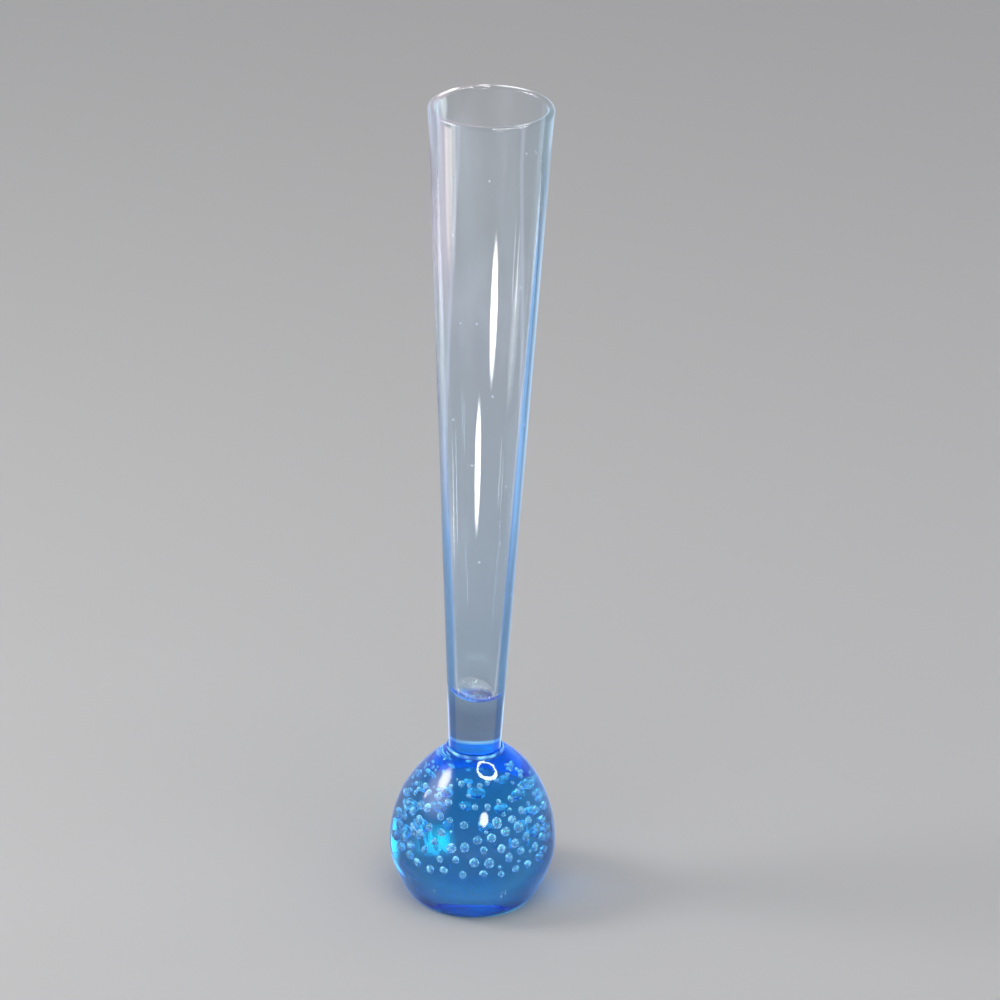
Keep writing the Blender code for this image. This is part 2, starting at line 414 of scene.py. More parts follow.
# %% Ball sizes
BALL_RADIUS = 25.2
EQUATOR = 17.0
FOOT_RADIUS = 18.6
FOOT_EDGE = 0.6
DOME_RISE = 31.0
DOME_PEAK = 3.8
DOME_PEAK_POWER = 1.5
COLLAR_RADIUS = 8.55
BEAD_WAVER = 0.25
SHOULDER_LEAN = 0.65
LEAN_HEIGHT = 44.0
LEAN_SPREAD = 9.0
DRAW_IN = 0.5
DRAW_IN_HEIGHT = 7.0
DRAW_IN_SPREAD = 5.0
FOOT_RINGS = (0.25, 0.5, 0.75, 0.92, 1.0)
BEAD_WAVES = ((2, 0.7, 1.0), (5, 2.0, 0.7), (9, 0.0, 0.4))
BEAD_DIP = 0.4
LEAN_FADE = 2.0
DRAW_IN_FADE = 3.0
LOWER_STEPS = 40
DOME_STEPS = 80
BEAD_STEPS = 9

foot_angle = math.acos(FOOT_RADIUS / BALL_RADIUS)
ball_drop = EQUATOR / math.sin(foot_angle)


def ellipse_piece(width, rise, start, end, steps):
    """Radius and height along an ellipse round the equator's middle, between two angles."""
    angle = np.linspace(start, end, steps)[:, None]
    return width * np.cos(angle), EQUATOR + rise * np.sin(angle)


def ball_grid():
    """Radius and height grids of the ball's skin, from the foot's middle to the joint's middle."""
    turn = angles_round()
    level = np.ones((1, AROUND))
    edge_turn = math.pi / 2 - foot_angle
    flat_reach = FOOT_RADIUS - FOOT_EDGE * math.tan(edge_turn / 2)
    foot_radius = flat_reach * np.array(FOOT_RINGS)[:, None] * level
    foot_height = np.zeros_like(foot_radius)
    edge_angle = np.linspace(-np.pi / 2, -foot_angle, EDGE_STEPS)[1:, None]
    edge_radius = (flat_reach + FOOT_EDGE * np.cos(edge_angle)) * level
    edge_height = FOOT_EDGE * (1 + np.sin(edge_angle)) * level

    lower_start = math.asin((EQUATOR - FOOT_EDGE * (1 - math.sin(foot_angle))) / ball_drop)
    lower_radius, lower_height = ellipse_piece(BALL_RADIUS, ball_drop, -lower_start, 0, LOWER_STEPS)
    dome_angle = np.linspace(0, math.acos(COLLAR_RADIUS / BALL_RADIUS), DOME_STEPS)[:, None]
    dome_radius = BALL_RADIUS * np.cos(dome_angle)
    peak = DOME_PEAK * (1 - np.cos(dome_angle)) ** DOME_PEAK_POWER
    dome_height = EQUATOR + DOME_RISE * np.sin(dome_angle) + peak

    waver = BEAD_WAVER * sum(share * np.sin(count * turn + shift) for count, shift, share in BEAD_WAVES)
    bead_half = (COLLAR_RADIUS - HEEL_RADIUS - JOINT_GAP) / 2
    bead_middle = COLLAR_RADIUS - bead_half
    bead_low = COLLAR_TOP - bead_half + BEAD_DIP * (waver - waver.max())
    bead_angle = np.linspace(0, np.pi, BEAD_STEPS)[:, None]
    bead_radius = bead_middle + bead_half * np.cos(bead_angle) * level
    bead_height = bead_low + bead_half * np.sin(bead_angle)
    joint_radius = (HEEL_RADIUS + JOINT_GAP) * JOINT_STEPS[::-1] * level
    joint_height = joint_dome(joint_radius)

    body_radius = np.concatenate([lower_radius[1:] * level, dome_radius[1:] * level])
    body_height = np.concatenate([lower_height[1:] * level, dome_height[1:] * level])
    lean = SHOULDER_LEAN * bell(body_height, LEAN_HEIGHT, LEAN_SPREAD)
    lean = lean * np.clip((COLLAR_TOP - body_height) / LEAN_FADE, 0, 1)
    drawn = DRAW_IN * bell(body_height, DRAW_IN_HEIGHT, DRAW_IN_SPREAD)
    drawn = drawn * np.clip(body_height / DRAW_IN_FADE, 0, 1)
    body_radius = body_radius + lean * np.cos(turn) - drawn

    radius = np.concatenate([foot_radius, edge_radius, body_radius, bead_radius, joint_radius])
    height = np.concatenate([foot_height, edge_height, body_height, bead_height, joint_height])
    print("ball grid:", radius.shape, "widest radius", round(float(radius.max()), 3), "mm")
    return radius, height


ball_form = ball_grid()

# %% [markdown]
# ## The net of bubbles
#
# The maker pricks rows of pits into an inner ball of glass and gathers more glass over it, which closes
# each pit. So the bubbles lie on one shell inside the ball, in rows that are each turned half a step from
# the last. They move a little while the glass is soft. A seeded random generator gives each bubble its
# small shift, size and squash. Smaller bubbles lie between the rows.

# %% Bubble net
SHELL_RADIUS = 14.8
SHELL_RISE = 25.0
SHELL_DROP = 12.5
ROW_HEIGHTS = (14.5, 18.5, 22.0, 25.5, 29.3, 33.5, 38.3)
COLUMNS = 20
FIRST_COLUMN_TURN = math.radians(-90 + 12.0)
ROW_SIZES = (2.1, 2.2, 2.25, 2.3, 2.15, 1.85, 1.45)
ROW_SHIFT = (0.10, 0.45, 0.13)
SMALL_BUBBLE = 1.2
SMALL_SPREAD = (0.6, 1.15)
SMALL_COUNT = 170
SMALL_ABOVE = 1.5
BACK_SHRINK = 0.55
BACK_FROM = (20.0, 28.0)
BACK_BLEND = 0.5
ROOM = 1.15
CLEARANCE = 0.35
random = np.random.default_rng(7)


def shell_place(turn, height):
    """Places on the shell and its outward directions, for arrays of angles and heights. The shell is two
    half ellipsoids about the equator: radius = SHELL_RADIUS cos(latitude)."""
    reach = np.where(height > EQUATOR, SHELL_RISE, SHELL_DROP)
    latitude = np.arcsin(np.clip((height - EQUATOR) / reach, -1, 1))
    radius = SHELL_RADIUS * np.cos(latitude)
    slope = round_axis(np.cos(latitude), turn, np.sin(latitude) * SHELL_RADIUS / reach)
    return round_axis(radius, turn, height), slope / np.linalg.norm(slope, axis=1, keepdims=True)


def net_places():
    """Angle, height and diameter of each bubble of the net, shifted a little. High up on the far side the
    pricks were shallower, so the bubbles are smaller there."""
    rows = np.arange(len(ROW_HEIGHTS))
    step = 2 * np.pi / COLUMNS
    turn = FIRST_COLUMN_TURN + step * (np.arange(COLUMNS)[None, :] + 0.5 * (rows % 2)[:, None])
    height = np.array(ROW_HEIGHTS)[:, None] + np.zeros((1, COLUMNS))
    size = np.array(ROW_SIZES)[:, None] * np.ones_like(height)
    turn = turn + random.normal(0, ROW_SHIFT[0], turn.shape) * step
    height = height + random.normal(0, ROW_SHIFT[1], height.shape)
    size = size * random.normal(1.0, ROW_SHIFT[2], size.shape)
    high = np.clip((height - BACK_FROM[0]) / (BACK_FROM[1] - BACK_FROM[0]), 0, 1)
    size = size * (1 - BACK_SHRINK * high * np.clip(BACK_BLEND + np.sin(turn), 0, 1))
    return turn.ravel(), height.ravel(), size.ravel()


def stray_places():
    """Angle, height and diameter of the small bubbles between the rows."""
    turn = random.uniform(0, 2 * np.pi, SMALL_COUNT)
    height = random.uniform(ROW_HEIGHTS[0], ROW_HEIGHTS[-1] + SMALL_ABOVE, SMALL_COUNT)
    size = SMALL_BUBBLE * random.uniform(*SMALL_SPREAD, SMALL_COUNT)
    return turn, height, size


def keep_apart(turn, height, size):
    """Keeps only the bubbles that would touch none before them in the list."""
    centres, _ = shell_place(turn, height)
    gap = np.linalg.norm(centres[:, None] - centres[None, :], axis=-1)
    room = (size[:, None] + size[None, :]) / 2 * ROOM + CLEARANCE
    kept = ~np.tril(gap < room, k=-1).any(axis=1)
    print("bubbles kept on the shell:", int(kept.sum()))
    return turn[kept], height[kept], size[kept]


net = keep_apart(*(np.concatenate(pair) for pair in zip(net_places(), stray_places())))

# %% [markdown]
# Each bubble is squashed a little by the glass that was gathered over it, and is slightly egg-shaped.
# Under the net hang thin trails, drawn out by the maker's tool. Each bubble glows with a painted highlight,
# most on the side that faces up and to the left, where the real room is brightest.

# %% Bubbles in place
DEPTH_SHIFT = 0.35
SQUASH = ((0.88, 1.1), (0.9, 1.25), (0.72, 0.95))
EGG = (-0.1, 0.22)
TRAIL_COUNT = 22
TRAIL_HEIGHTS = (5.5, 11.0)
TRAIL_REACH = (17.5, 20.5)
TRAIL_THIN = (0.11, 0.19)
TRAIL_LONG = (0.6, 2.4)
TRAIL_SHINE = 1.6
# painted highlight: the side of each bubble that glows most
SHINE_SIDE = (-0.4, -0.3, 0.85)
SHINE_SPREAD = (0.6, 1.0)
SHINE_SHARE = 0.35


def net_bubbles():
    """Centres of the bubbles on the shell, their three half-size vectors, egg shapes and half sizes."""
    turn, height, size = net
    centres, outward = shell_place(turn, height)
    centres = centres + outward * random.normal(0, DEPTH_SHIFT, (len(turn), 1))
    across = round_axis(1, turn + np.pi / 2, 0)
    half = size[:, None] / 2
    wide, tall, deep = (half * random.uniform(*span, half.shape) for span in SQUASH)
    egg = random.uniform(*EGG, len(turn))
    return centres, across * wide, np.cross(outward, across) * tall, outward * deep, egg, half


def trail_bubbles():
    """The same for the thin drawn-out bubbles that hang upright under the net."""
    turn = random.uniform(0, 2 * np.pi, TRAIL_COUNT)
    height = random.uniform(*TRAIL_HEIGHTS, TRAIL_COUNT)
    reach = random.uniform(*TRAIL_REACH, TRAIL_COUNT)
    centres, across = round_axis(reach, turn, height), round_axis(1, turn + np.pi / 2, 0)
    along = np.tile([[0.0, 0.0, 1.0]], (TRAIL_COUNT, 1))
    thin = random.uniform(*TRAIL_THIN, (TRAIL_COUNT, 1))
    long = random.uniform(*TRAIL_LONG, (TRAIL_COUNT, 1))
    return centres, across * thin, along * long, np.cross(across, along) * thin, 0 * turn, long


def bubble_net():
    """Points and faces of every bubble in the ball, and the painted shine of each point."""
    *shapes, half = (np.concatenate(pair) for pair in zip(net_bubbles(), trail_bubbles()))
    points, quads, triangles = bubble_skins(*shapes)
    count, each = len(half), len(points) // len(half)
    away = points - np.repeat(shapes[0], each, axis=0)
    lit = np.clip(away @ np.array(SHINE_SIDE) / np.repeat(half[:, 0], each), 0, 1)
    bright = random.uniform(*SHINE_SPREAD, count)
    bright[-TRAIL_COUNT:] *= TRAIL_SHINE
    shine = np.repeat(bright, each) * (SHINE_SHARE + (1 - SHINE_SHARE) * lit**2)
    print("bubbles:", count)
    return points, quads, triangles, shine


# %% [markdown]
# ## Making the two pieces
#
# The ball's skin and its bubbles go into one mesh, because only then does the renderer know where glass
# ends and air begins. At the joint the two pieces are fused, so light passes straight through. The two
# facing discs carry a mark, and the glass there is given the refraction of air, which makes them
# invisible.

# %% Pieces
SHARP_ANGLE = math.radians(40)
FUSED_TOP = COLLAR_TOP - 0.05
BEAD_GLOW = (COLLAR_RADIUS, 0.15)
BEAD_GLOW_DEPTH = 1.2
BEAD_GLOW_LEVEL = 0.45
BEAD_GLOW_LEAST = 0.1
BEAD_GLOW_WAVES = ((5, 1.0, 0.35), (13, 0.0, 0.35))
FOOT_GLOW_TURN = math.radians(-90 + 46)
FOOT_GLOW_SPREAD = 0.42
FOOT_GLOW_REACH = (16.5, 4.0)
FOOT_GLOW_LEAST = 0.08


def write_mark(piece, name, values, kind="FLOAT", domain="POINT"):
    """Writes a mark into a mesh: a number, or a colour, for each point or face."""
    mark = piece.data.attributes.new(name, kind, domain)
    mark.data.foreach_set("color" if kind == "FLOAT_COLOR" else "value", np.ravel(values).astype(np.float32))


def mark_joint(piece):
    """Writes a face mark that is 1 where the pieces are fused, and 0 elsewhere. Those faces lie inside the
    heel's radius, above the bubbles and below the collar's top."""
    middle = np.array([face.center for face in piece.data.polygons]) / MM
    inside = np.hypot(middle[:, 0], middle[:, 1]) < HEEL_RADIUS + 2 * JOINT_GAP
    fused = (middle[:, 2] > HEEL_BOTTOM - 2 * JOINT_GAP) & (middle[:, 2] < FUSED_TOP) & inside
    write_mark(piece, "fused", fused, domain="FACE")
    print(piece.name, "fused faces:", int(fused.sum()))


def make_trumpet():
    """The trumpet with its heel, as one closed mesh."""
    piece = make_mesh("flute_glass", *turned_skin(trumpet_radii, trumpet_heights))
    write_mark(piece, "in_well", np.append(well_mark, [0, 1]))
    poles = [[0, 0, 0], caught_light[-1].mean(axis=0)]
    colours = np.concatenate([caught_light.reshape(-1, 3), poles])
    write_mark(piece, "well_light", np.column_stack([colours, np.ones(len(colours))]), "FLOAT_COLOR")
    return piece


def bead_light(turn, reach, height):
    """How much the bead round the heel glows, from 0 to 1: most on its crest, uneven round the axis."""
    waves = (share * np.sin(count * turn + shift) for count, shift, share in BEAD_GLOW_WAVES)
    uneven = np.clip(BEAD_GLOW_LEVEL + sum(waves), BEAD_GLOW_LEAST, 1)
    return bell(reach, *BEAD_GLOW) * (height > COLLAR_TOP - BEAD_GLOW_DEPTH) * uneven


def foot_light(turn, reach, height):
    """How much the ground foot glows, from 0 to 1: a little all over and most near its edge on the front
    right. It falls off as a bell curve of the angle and of the distance from the axis."""
    bright = bell(turned_from(turn, FOOT_GLOW_TURN), 0, FOOT_GLOW_SPREAD) * bell(reach, *FOOT_GLOW_REACH)
    return (height < FOOT_EDGE / 2) * (FOOT_GLOW_LEAST + (1 - FOOT_GLOW_LEAST) * bright)


def make_ball():
    """The ball with its bubbles, as one mesh."""
    skin, quads, triangles = turned_skin(*ball_form)
    air, air_quads, air_triangles, shine = bubble_net()
    pairs = ((skin, air), (quads, air_quads + len(skin)), (triangles, air_triangles + len(skin)))
    piece = make_mesh("ball_glass", *(np.concatenate(pair) for pair in pairs))
    place = (np.arctan2(skin[:, 1], skin[:, 0]), np.hypot(skin[:, 0], skin[:, 1]), skin[:, 2])
    none = np.zeros(len(air))
    write_mark(piece, "shine", np.append(np.zeros(len(skin)), shine))
    write_mark(piece, "bead", np.append(bead_light(*place), none))
    write_mark(piece, "foot", np.append(foot_light(*place), none))
    return piece


trumpet, ball = make_trumpet(), make_ball()
for piece in (trumpet, ball):
    mark_joint(piece)
    piece.data.set_sharp_from_angle(angle=SHARP_ANGLE)

# %% [markdown]
# ## Blue glass
#
# The colour sits in the volume: red light dies out fastest, green next, and blue hardly at all. So a thin
# wall is nearly clear, a wall seen edge-on is blue, and the ball is deep blue. A coloured surface could not
# do that. First comes a short way to write shader arithmetic, so that each finish below reads as a formula
# of masks and colours.

# %% Shader arithmetic
class Value:
    """A number in a shader. To add, subtract, multiply or raise it makes a Math node."""

    def __init__(self, socket):
        self.socket = socket
        self.tree = socket.id_data

    def __add__(self, other):
        return calculate("ADD", self, other)

    def __sub__(self, other):
        return calculate("SUBTRACT", self, other)

    def __rsub__(self, other):
        return calculate("SUBTRACT", other, self)

    def __mul__(self, other):
        return calculate("MULTIPLY", self, other)

    def __pow__(self, other):
        return calculate("POWER", self, other)


def connect(node, values):
    """Gives inputs of a node, by name or number, what goes in: a value, a socket, a number or a colour."""
    for place, value in values.items():
        value = value.socket if isinstance(value, Value) else value
        if isinstance(value, bpy.types.NodeSocket):
            node.id_data.links.new(value, node.inputs[place])
        else:
            node.inputs[place].default_value = value


def add_node(tree, kind, values=(), **settings):
    """A shader node with its settings and its inputs."""
    node = tree.nodes.new("ShaderNode" + kind)
    for name, setting in settings.items():
        setattr(node, name, setting)
    connect(node, dict(values))
    return node


def calculate(operation, *operands):
    """A Math node. Each operand is a value, a socket or a number."""
    tree = next(one.tree for one in operands if isinstance(one, Value))
    return Value(add_node(tree, "Math", enumerate(operands), operation=operation).outputs[0])


def vector_step(operation, first, second):
    """A Vector Math node of a socket and another socket or three numbers."""
    return add_node(first.id_data, "VectorMath", {0: first, 1: second}, operation=operation).outputs[0]


def rise(value, low, high, kind="SMOOTHSTEP"):
    """A mask that goes from 0 to 1 as a value goes from low to high."""
    values = {"Value": value, "From Min": low, "From Max": high}
    return Value(add_node(value.tree, "MapRange", values, interpolation_type=kind).outputs["Result"])


print("shader values can be added, subtracted, multiplied and raised")

# %% [markdown]
# Masks say where on a piece something happens: by height, by side, by how edge-on the surface is seen, or
# by a mark that was written into the mesh. Colours are then mixed and dimmed by masks, and added up.

# %% Masks and colours
WHITE = (1.0, 1.0, 1.0, 1.0)
BLACK = (0.0, 0.0, 0.0, 1.0)
SIDE_BLEND = 4.0


def object_place(tree):
    """The point's place on the object, in metres."""
    return add_node(tree, "TexCoord").outputs["Object"]


def axis_of(vector, axis):
    """One of the three numbers of a vector or colour socket."""
    return Value(add_node(vector.id_data, "SeparateXYZ", {0: vector}).outputs[axis])


def height_mask(tree, low, high):
    """A mask that rises from 0 to 1 between two heights in millimetres."""
    return rise(axis_of(object_place(tree), "Z"), low * MM, high * MM, "LINEAR")


def right_mask(tree):
    """A mask that is 0 on the left of the axis and 1 on the right."""
    return rise(axis_of(object_place(tree), "X"), -SIDE_BLEND * MM, SIDE_BLEND * MM, "LINEAR")


def edge_on(tree):
    """0 where the surface faces the eye, and up to 1 where it is seen edge-on."""
    return Value(add_node(tree, "LayerWeight", {"Blend": 0.5}).outputs["Facing"])


def from_behind(tree):
    """1 where the surface is seen from inside the glass, and 0 elsewhere."""
    return Value(add_node(tree, "NewGeometry").outputs["Backfacing"])


def mark_of(tree, name, output="Fac"):
    """A mark that the mesh carries, as a value."""
    return Value(add_node(tree, "Attribute", attribute_name=name).outputs[output])


def mixed(mask, first, second):
    """Colour between two colours, by a mask."""
    node = add_node(mask.tree, "Mix", {"Factor": mask, "A": first, "B": second}, data_type="RGBA")
    return node.outputs["Result"]


def scaled(colour, mask):
    """A colour times a mask."""
    return add_node(mask.tree, "VectorMath", {0: colour, "Scale": mask}, operation="SCALE").outputs[0]


def join_colours(operation, colours):
    """Adds or multiplies colour sockets, one after the other."""
    total = colours[0]
    for colour in colours[1:]:
        total = vector_step(operation, total, colour)
    return total


def tree_and_shader(material):
    """The node tree of a material and the shader in it."""
    return material.node_tree, material.node_tree.nodes["Principled BSDF"]


def new_material(name):
    """A new material, its node tree and the shader in it."""
    material = bpy.data.materials.new(name)
    material.use_nodes = True
    return material, *tree_and_shader(material)


print("masks by height, side, edge and mark")

# %% [markdown]
# ## Marks of making and of use
#
# Real glass has slow ripples that bend its glints, and patches of dried water that ran down; in the well
# these patches and a few specks are drawn as a painted glow. A fine mottle varies the painted glow of each
# bubble. One node group makes all of these for both pieces, so they share a scale.

# %% Marks of making and masks of painted glow
PATCH_SCALE = 60.0
PATCH_LEVELS = (0.45, 0.75)
RUN_DOWN = (1.0, 1.0, 0.3)
MOTTLE_SCALE = 900.0
MOTTLE_LEVELS = (0.44, 0.62)
SPECK_SCALE = 380.0
SPECK_SIZE = 0.14
SPECK_RARITY = 0.965


def new_group(name, inputs, outputs):
    """An empty shader node group with named number inputs and outputs."""
    group = bpy.data.node_groups.new(name, "ShaderNodeTree")
    for socket, value in inputs.items():
        made = group.interface.new_socket(socket, in_out="INPUT", socket_type="NodeSocketFloat")
        made.default_value = value
    for socket in outputs:
        group.interface.new_socket(socket, in_out="OUTPUT", socket_type="NodeSocketFloat")
    print("node group", name, "gives", outputs)
    return group, group.nodes.new("NodeGroupInput"), group.nodes.new("NodeGroupOutput")


def noise(place, scale, detail):
    """A soft noise over the surface, with that many finer layers."""
    values = {"Vector": place, "Scale": scale, "Detail": detail}
    return Value(add_node(place.id_data, "TexNoise", values).outputs["Fac"])


def marks_and_glow():
    """Group: patches left by handling and by dried water that ran down, slow ripples, fine mottling and a few
    specks, each as a value from 0 to 1. The patches and specks only mark where the well glows with painted
    light, and the mottle only varies the bubbles' painted glow."""
    names = ["Patches", "Ripples", "Mottle", "Specks"]
    group, source, result = new_group("marks_and_glow", {"Ripple Scale": 40.0}, names)
    place = object_place(group)
    patches = noise(vector_step("MULTIPLY", place, RUN_DOWN), PATCH_SCALE, 4)
    cells = add_node(group, "TexVoronoi", {"Vector": place, "Scale": SPECK_SCALE})
    near = calculate("LESS_THAN", Value(cells.outputs["Distance"]), SPECK_SIZE)
    rare = calculate("GREATER_THAN", axis_of(cells.outputs["Color"], "X"), SPECK_RARITY)
    connect(result, {
        "Patches": rise(patches, *PATCH_LEVELS),
        "Ripples": noise(place, source.outputs["Ripple Scale"], 0),
        "Mottle": rise(noise(place, MOTTLE_SCALE, 2), *MOTTLE_LEVELS),
        "Specks": near * rare,
    })
    return group


surface_group = marks_and_glow()

# %% [markdown]
# ## Glass for each piece
#
# Both pieces get glass of one colour, two and a half times as strong in the ball. Light bends at every
# surface, except where the pieces are fused: there the refraction is that of air, so the joint can't be
# seen. Towards the lip it fades as well, because a wall of perfect glass would pipe the dark inside up to
# the rim, and a clear coat keeps the lip's shine. The foot was ground flat, so it alone is matt.

# %% Glass material
GLASS_IOR = 1.5
ABSORB_COLOUR = (0.03, 0.69, 0.955, 1.0)
BALL_DENSITY = 76.0
TRUMPET_DENSITY = 30.0
BALL_RIPPLES = 60.0
TRUMPET_RIPPLES = 45.0
RIPPLE_HEIGHT = 0.02
LIP_IOR = 1.0
LIP_FADE = (152.0, 242.0)
FOOT_POLISH = (0.02, 0.12)
FOOT_ROUGHNESS = 0.5


def blue_glass(name, density, ripple_scale):
    """Glass that is clear at its surface and blue in its volume, invisible where a fused mark is set."""
    material, tree, shader = new_material(name)
    ripples = {"Ripple Scale": ripple_scale}
    surface = add_node(tree, "Group", ripples, node_tree=surface_group, name="marks_and_glow")
    height = surface.outputs["Ripples"]
    bump = add_node(tree, "Bump", {"Strength": 1.0, "Distance": RIPPLE_HEIGHT * MM, "Height": height})
    connect(shader, {"Base Color": WHITE, "Metallic": 0, "Transmission Weight": 1, "Roughness": 0})
    connect(shader, {"IOR": GLASS_IOR - mark_of(tree, "fused") * (GLASS_IOR - 1), "Normal": bump.outputs[0]})
    volume = add_node(tree, "VolumeAbsorption", {"Color": ABSORB_COLOUR, "Density": density})
    connect(tree.nodes["Material Output"], {"Volume": volume.outputs[0]})
    print(name, "density", density)
    return material


def clear_lip(material):
    """Lets light through the lip instead of down the wall, and keeps its shine with a clear coat."""
    tree, shader = tree_and_shader(material)
    lip = height_mask(tree, *LIP_FADE)
    before = Value(shader.inputs["IOR"].links[0].from_socket)
    connect(shader, {"IOR": before - lip * (GLASS_IOR - LIP_IOR), "Coat Weight": lip})
    connect(shader, {"Coat Roughness": 0, "Coat IOR": GLASS_IOR})


def ground_foot(material):
    """Makes the flat underside finely matt, as a ground foot is."""
    tree, shader = tree_and_shader(material)
    connect(shader, {"Roughness": (1 - height_mask(tree, *FOOT_POLISH)) * FOOT_ROUGHNESS})


trumpet_glass = blue_glass("trumpet_glass", TRUMPET_DENSITY, TRUMPET_RIPPLES)
clear_lip(trumpet_glass)
trumpet.data.materials.append(trumpet_glass)
ball_glass = blue_glass("bubble_ball_glass", BALL_DENSITY, BALL_RIPPLES)
ground_foot(ball_glass)
ball.data.materials.append(ball_glass)

# %% [markdown]
# ## Tints of the surface
#
# Light that enters a real wall at its edge runs down inside it and comes out much bluer than on a straight
# path. The renderer cuts such long paths short. So the surface gets a painted blue tint where it is seen
# edge-on, in place of that light: on the right nearly up to the lip, on the left only low down, and round the
# ball, where it also darkens. The heel is tinted slate, a painted reflection of the dark room that it shows
# upside down, and the well's floor is warmed a little.

# %% Tints
# painted tint: blue where the wall is seen edge-on, in place of light that runs down inside it
EDGE_TINT = (0.13, 0.42, 1.0, 1.0)
EDGE_LEVELS = ((95.0, 0.40), (212.0, 0.55))
EDGE_HALF = 0.05
LEFT_TINT_TOP = (120.0, 175.0)
RIGHT_TINT_TOP = (212.0, 238.0)
LOW_TINT = (0.80, 0.85, 0.92, 1.0)
HIGH_TINT = (0.95, 0.95, 0.97, 1.0)
TINT_HEIGHTS = (80.0, 235.0)
# painted reflection: the heel darkened to slate for the dark room that it shows upside down
HEEL_TINT = (0.52, 0.52, 0.64, 1.0)
HEEL_BOTTOM_FADE = (COLLAR_TOP, COLLAR_TOP + 0.4)
HEEL_TOP_FADE = (WELL_FLOOR_HEIGHT - 3, WELL_FLOOR_HEIGHT + 3)
WELL_TINT = (0.97, 0.86, 0.72, 1.0)
WELL_FADE = (WELL_FLOOR_HEIGHT + 2, WELL_FLOOR_HEIGHT + 6)
# painted shade: the ball bluer and darker where it is seen edge-on
BALL_EDGE_TINT = (0.12, 0.30, 0.54, 1.0)
BALL_EDGE = (0.25, 0.62)
SHOULDER_HEIGHTS = (27.0, 38.0)


def tint_trumpet(material):
    """Multiplies the tints of the edge, the heel, the wall and the well's floor. The edge's tint starts
    further out the higher it is."""
    tree, shader = tree_and_shader(material)
    (low, low_middle), (high, high_middle) = EDGE_LEVELS
    middle = height_mask(tree, low, high) * (high_middle - low_middle) + low_middle
    left = 1 - height_mask(tree, *LEFT_TINT_TOP)
    right = right_mask(tree) * (1 - height_mask(tree, *RIGHT_TINT_TOP))
    sides = calculate("MAXIMUM", left, right)
    in_well = mark_of(tree, "in_well")
    edge = rise(edge_on(tree), middle - EDGE_HALF, middle + EDGE_HALF) * sides * (1 - in_well)
    heel = height_mask(tree, *HEEL_BOTTOM_FADE) * (1 - height_mask(tree, *HEEL_TOP_FADE))
    floor = in_well * (1 - height_mask(tree, *WELL_FADE))
    tints = [
        mixed(edge, WHITE, EDGE_TINT),
        mixed(heel, WHITE, HEEL_TINT),
        mixed(height_mask(tree, *TINT_HEIGHTS), LOW_TINT, HIGH_TINT),
        mixed(floor, WHITE, WELL_TINT),
    ]
    connect(shader, {"Base Color": join_colours("MULTIPLY", tints)})


def tint_ball(material):
    """Turns the ball bluer and darker where it is seen edge-on below its shoulder."""
    tree, shader = tree_and_shader(material)
    edge = rise(edge_on(tree), *BALL_EDGE) * (1 - height_mask(tree, *SHOULDER_HEIGHTS))
    connect(shader, {"Base Color": mixed(edge, WHITE, BALL_EDGE_TINT)})


tint_trumpet(trumpet_glass)
tint_ball(ball_glass)
print("tints: trumpet edge", EDGE_TINT[:3], "ball edge", BALL_EDGE_TINT[:3])

# %% [markdown]
# ## Caught light
#
# A bubble, a lip or a bead of glass mirrors every bright thing in a room, and this studio is nearly empty.
# A hundred more lamps could be hung up for that. Instead these places give off a little light of their
# own, by marks in the mesh, by height and by how edge-on they are. On the trumpet they are a pale line
# along its outline and its bore, a lavender veil on the upper left, and haze and specks in the well.

# %% Caught light on the trumpet
# All colours below are painted light: pale rim and bore lines and a lavender veil glow in place of mirrored
# light, and the dried haze and specks in the well are drawn glowing.
RIM_EDGE = (0.62, 0.90)
RIM_LEFT = (0.45, 0.58, 0.85, 1.0)
RIM_RIGHT = (0.40, 0.62, 0.85, 1.0)
RIM_RIGHT_RISE = (120.0, 200.0)
RIM_RIGHT_LOW = 0.35
RIM_LEFT_RISE = (165.0, 205.0)
RIM_LEFT_HIGH = 0.3
RIM_HEEL_FADE = (WELL_FLOOR_HEIGHT - 3, WELL_FLOOR_HEIGHT + 5)
VEIL_COLOUR = (0.17, 0.10, 0.13)
VEIL_EDGE = (0.22, 0.42)
VEIL_RISE = (185.0, 215.0)
HAZE_COLOUR = (0.075, 0.078, 0.09)
SPECK_COLOUR = (0.32, 0.34, 0.38)
BORE_COLOUR = (0.10, 0.10, 0.14)
BORE_START = (0.235, 0.262)
BORE_END = (0.275, 0.31)


def shine_with(material, lights):
    """Adds up colour sockets and lets the surface give off the sum."""
    shader = material.node_tree.nodes["Principled BSDF"]
    connect(shader, {"Emission Color": BLACK, "Emission Strength": 1.0})
    connect(shader, {"Emission Color": join_colours("ADD", lights)})


